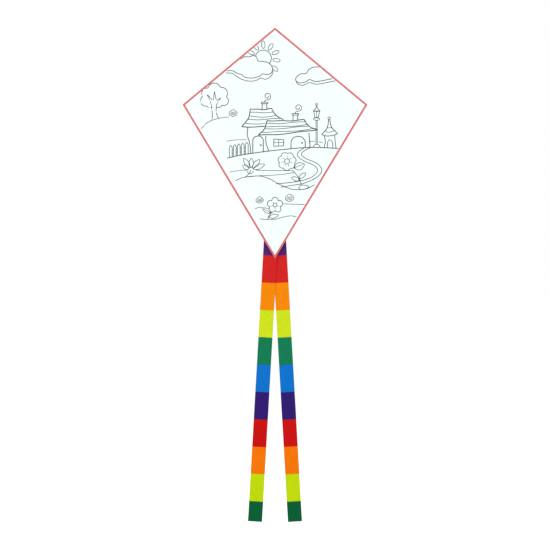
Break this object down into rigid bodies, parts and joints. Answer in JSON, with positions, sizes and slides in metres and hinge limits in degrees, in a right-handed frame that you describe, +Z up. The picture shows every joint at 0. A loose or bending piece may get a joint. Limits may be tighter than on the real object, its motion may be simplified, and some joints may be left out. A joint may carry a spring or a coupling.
{
  "type": "diamond kite",
  "caption": "Flat two-stick diamond kite with a line-drawing sail to colour in, bound edges and a two-legged rainbow ribbon tail.",
  "frame": {"origin": "the crossing of the spine and the spreader, in the middle of the sail's thickness, where the bridle's upper leg is tied", "axes": "+Z up along the spine to the nose; +Y back, to the side where the frame is; -Y out of the printed face; the kite hangs upright"},
  "size_m": [0.6, 0.0158, 1.6063],
  "materials": {
    "sail_cloth": "matte",
    "binding_tape": "matte",
    "glass_fibre": "satin",
    "soft_vinyl": "satin",
    "white_plastic": "gloss",
    "white_webbing": "matte",
    "ribbon_purple": "satin",
    "ribbon_red": "satin",
    "ribbon_orange": "satin",
    "ribbon_yellow": "satin",
    "ribbon_green": "satin",
    "ribbon_blue": "satin"
  },
  "bodies": {
    "spine": {"sail_centre": "sail_cloth", "binding_nose": "binding_tape", "binding_foot": "binding_tape", "nose_pocket": "binding_tape", "foot_pocket": "binding_tape", "spine_rod": "glass_fibre", "cross_fitting": "soft_vinyl", "spine_end_caps": "soft_vinyl", "bridle_eyelets": "white_plastic", "spine_keepers": "sail_cloth", "tail_keeper": "sail_cloth", "tail_tab": "white_webbing"},
    "left_wing": {"sail_left": "sail_cloth", "binding_upper_left": "binding_tape", "binding_lower_left": "binding_tape", "left_pocket": "binding_tape", "left_spreader_rod": "glass_fibre", "cross_fitting_left_arm": "soft_vinyl", "left_end_cap": "soft_vinyl"},
    "right_wing": {"sail_right": "sail_cloth", "binding_upper_right": "binding_tape", "binding_lower_right": "binding_tape", "right_pocket": "binding_tape", "right_spreader_rod": "glass_fibre", "cross_fitting_right_arm": "soft_vinyl", "right_end_cap": "soft_vinyl"},
    "tail_ring": {"tail_ring": "white_plastic"},
    "tail_header": {"tail_header": "ribbon_purple"},
    "left_ribbon_01": {"left_ribbon_01_purple": "ribbon_purple"},
    "left_ribbon_02": {"left_ribbon_02_red": "ribbon_red"},
    "left_ribbon_03": {"left_ribbon_03_orange": "ribbon_orange"},
    "left_ribbon_04": {"left_ribbon_04_yellow": "ribbon_yellow"},
    "left_ribbon_05": {"left_ribbon_05_green": "ribbon_green"},
    "left_ribbon_06": {"left_ribbon_06_blue": "ribbon_blue"},
    "left_ribbon_07": {"left_ribbon_07_purple": "ribbon_purple"},
    "left_ribbon_08": {"left_ribbon_08_red": "ribbon_red"},
    "left_ribbon_09": {"left_ribbon_09_orange": "ribbon_orange"},
    "left_ribbon_10": {"left_ribbon_10_yellow": "ribbon_yellow"},
    "left_ribbon_11": {"left_ribbon_11_green": "ribbon_green"},
    "right_ribbon_01": {"right_ribbon_01_purple": "ribbon_purple"},
    "right_ribbon_02": {"right_ribbon_02_red": "ribbon_red"},
    "right_ribbon_03": {"right_ribbon_03_orange": "ribbon_orange"},
    "right_ribbon_04": {"right_ribbon_04_yellow": "ribbon_yellow"},
    "right_ribbon_05": {"right_ribbon_05_green": "ribbon_green"},
    "right_ribbon_06": {"right_ribbon_06_blue": "ribbon_blue"},
    "right_ribbon_07": {"right_ribbon_07_purple": "ribbon_purple"},
    "right_ribbon_08": {"right_ribbon_08_red": "ribbon_red"},
    "right_ribbon_09": {"right_ribbon_09_orange": "ribbon_orange"},
    "right_ribbon_10": {"right_ribbon_10_yellow": "ribbon_yellow"},
    "right_ribbon_11": {"right_ribbon_11_green": "ribbon_green"}
  },
  "joints": [
    {"name": "left_wing_bend", "type": "hinge", "parent": "spine", "child": "left_wing", "pos_m": [-0.012, 0, 0], "axis": [0, 0, -1], "range_deg": [0, 20], "stiffness_Nm_per_rad": 0.12},
    {"name": "right_wing_bend", "type": "hinge", "parent": "spine", "child": "right_wing", "pos_m": [0.012, 0, 0], "axis": [0, 0, 1], "range_deg": [0, 20], "stiffness_Nm_per_rad": 0.12},
    {"name": "tail_swing", "type": "hinge", "parent": "spine", "child": "tail_ring", "pos_m": [0, 0.012, -0.363], "axis": [1, 0, 0], "range_deg": [0, 60]},
    {"name": "tail_sway", "type": "hinge", "parent": "tail_ring", "child": "tail_header", "pos_m": [0, 0.012, -0.372], "axis": [0, 1, 0], "range_deg": [-30, 30]},
    {"name": "left_seam_01", "type": "hinge", "parent": "tail_header", "child": "left_ribbon_01", "pos_m": [-0.0109, 0.011, -0.401], "axis": [0.9984, 0, -0.0567], "range_deg": [0, 30]},
    {"name": "left_seam_02", "type": "hinge", "parent": "left_ribbon_01", "child": "left_ribbon_02", "pos_m": [-0.01595, 0.011, -0.48996], "axis": [-0.9984, 0, 0.0567], "range_deg": [-30, 30]},
    {"name": "left_seam_03", "type": "hinge", "parent": "left_ribbon_02", "child": "left_ribbon_03", "pos_m": [-0.021, 0.011, -0.57891], "axis": [0.9984, 0, -0.0567], "range_deg": [-30, 30]},
    {"name": "left_seam_04", "type": "hinge", "parent": "left_ribbon_03", "child": "left_ribbon_04", "pos_m": [-0.02605, 0.011, -0.66787], "axis": [-0.9984, 0, 0.0567], "range_deg": [-30, 30]},
    {"name": "left_seam_05", "type": "hinge", "parent": "left_ribbon_04", "child": "left_ribbon_05", "pos_m": [-0.03111, 0.011, -0.75683], "axis": [0.9984, 0, -0.0567], "range_deg": [-30, 30]},
    {"name": "left_seam_06", "type": "hinge", "parent": "left_ribbon_05", "child": "left_ribbon_06", "pos_m": [-0.03616, 0.011, -0.84578], "axis": [-0.9984, 0, 0.0567], "range_deg": [-30, 30]},
    {"name": "left_seam_07", "type": "hinge", "parent": "left_ribbon_06", "child": "left_ribbon_07", "pos_m": [-0.04121, 0.011, -0.93474], "axis": [0.9984, 0, -0.0567], "range_deg": [-30, 30]},
    {"name": "left_seam_08", "type": "hinge", "parent": "left_ribbon_07", "child": "left_ribbon_08", "pos_m": [-0.04626, 0.011, -1.0237], "axis": [-0.9984, 0, 0.0567], "range_deg": [-30, 30]},
    {"name": "left_seam_09", "type": "hinge", "parent": "left_ribbon_08", "child": "left_ribbon_09", "pos_m": [-0.05131, 0.011, -1.11265], "axis": [0.9984, 0, -0.0567], "range_deg": [-30, 30]},
    {"name": "left_seam_10", "type": "hinge", "parent": "left_ribbon_09", "child": "left_ribbon_10", "pos_m": [-0.05636, 0.011, -1.20161], "axis": [-0.9984, 0, 0.0567], "range_deg": [-30, 30]},
    {"name": "left_seam_11", "type": "hinge", "parent": "left_ribbon_10", "child": "left_ribbon_11", "pos_m": [-0.06141, 0.011, -1.29057], "axis": [0.9984, 0, -0.0567], "range_deg": [-30, 30]},
    {"name": "right_seam_01", "type": "hinge", "parent": "tail_header", "child": "right_ribbon_01", "pos_m": [0.0109, 0.013, -0.401], "axis": [0.9984, 0, 0.0567], "range_deg": [0, 30]},
    {"name": "right_seam_02", "type": "hinge", "parent": "right_ribbon_01", "child": "right_ribbon_02", "pos_m": [0.01595, 0.013, -0.48996], "axis": [-0.9984, 0, -0.0567], "range_deg": [-30, 30]},
    {"name": "right_seam_03", "type": "hinge", "parent": "right_ribbon_02", "child": "right_ribbon_03", "pos_m": [0.021, 0.013, -0.57891], "axis": [0.9984, 0, 0.0567], "range_deg": [-30, 30]},
    {"name": "right_seam_04", "type": "hinge", "parent": "right_ribbon_03", "child": "right_ribbon_04", "pos_m": [0.02605, 0.013, -0.66787], "axis": [-0.9984, 0, -0.0567], "range_deg": [-30, 30]},
    {"name": "right_seam_05", "type": "hinge", "parent": "right_ribbon_04", "child": "right_ribbon_05", "pos_m": [0.03111, 0.013, -0.75683], "axis": [0.9984, 0, 0.0567], "range_deg": [-30, 30]},
    {"name": "right_seam_06", "type": "hinge", "parent": "right_ribbon_05", "child": "right_ribbon_06", "pos_m": [0.03616, 0.013, -0.84578], "axis": [-0.9984, 0, -0.0567], "range_deg": [-30, 30]},
    {"name": "right_seam_07", "type": "hinge", "parent": "right_ribbon_06", "child": "right_ribbon_07", "pos_m": [0.04121, 0.013, -0.93474], "axis": [0.9984, 0, 0.0567], "range_deg": [-30, 30]},
    {"name": "right_seam_08", "type": "hinge", "parent": "right_ribbon_07", "child": "right_ribbon_08", "pos_m": [0.04626, 0.013, -1.0237], "axis": [-0.9984, 0, -0.0567], "range_deg": [-30, 30]},
    {"name": "right_seam_09", "type": "hinge", "parent": "right_ribbon_08", "child": "right_ribbon_09", "pos_m": [0.05131, 0.013, -1.11265], "axis": [0.9984, 0, 0.0567], "range_deg": [-30, 30]},
    {"name": "right_seam_10", "type": "hinge", "parent": "right_ribbon_09", "child": "right_ribbon_10", "pos_m": [0.05636, 0.013, -1.20161], "axis": [-0.9984, 0, -0.0567], "range_deg": [-30, 30]},
    {"name": "right_seam_11", "type": "hinge", "parent": "right_ribbon_10", "child": "right_ribbon_11", "pos_m": [0.06141, 0.013, -1.29057], "axis": [0.9984, 0, 0.0567], "range_deg": [-30, 30]}
  ],
  "couplings": [
    {"joint": "right_seam_01", "follows": "left_seam_01", "ratio": 1},
    {"joint": "right_seam_02", "follows": "left_seam_02", "ratio": 1},
    {"joint": "right_seam_03", "follows": "left_seam_03", "ratio": 1}
  ]
}
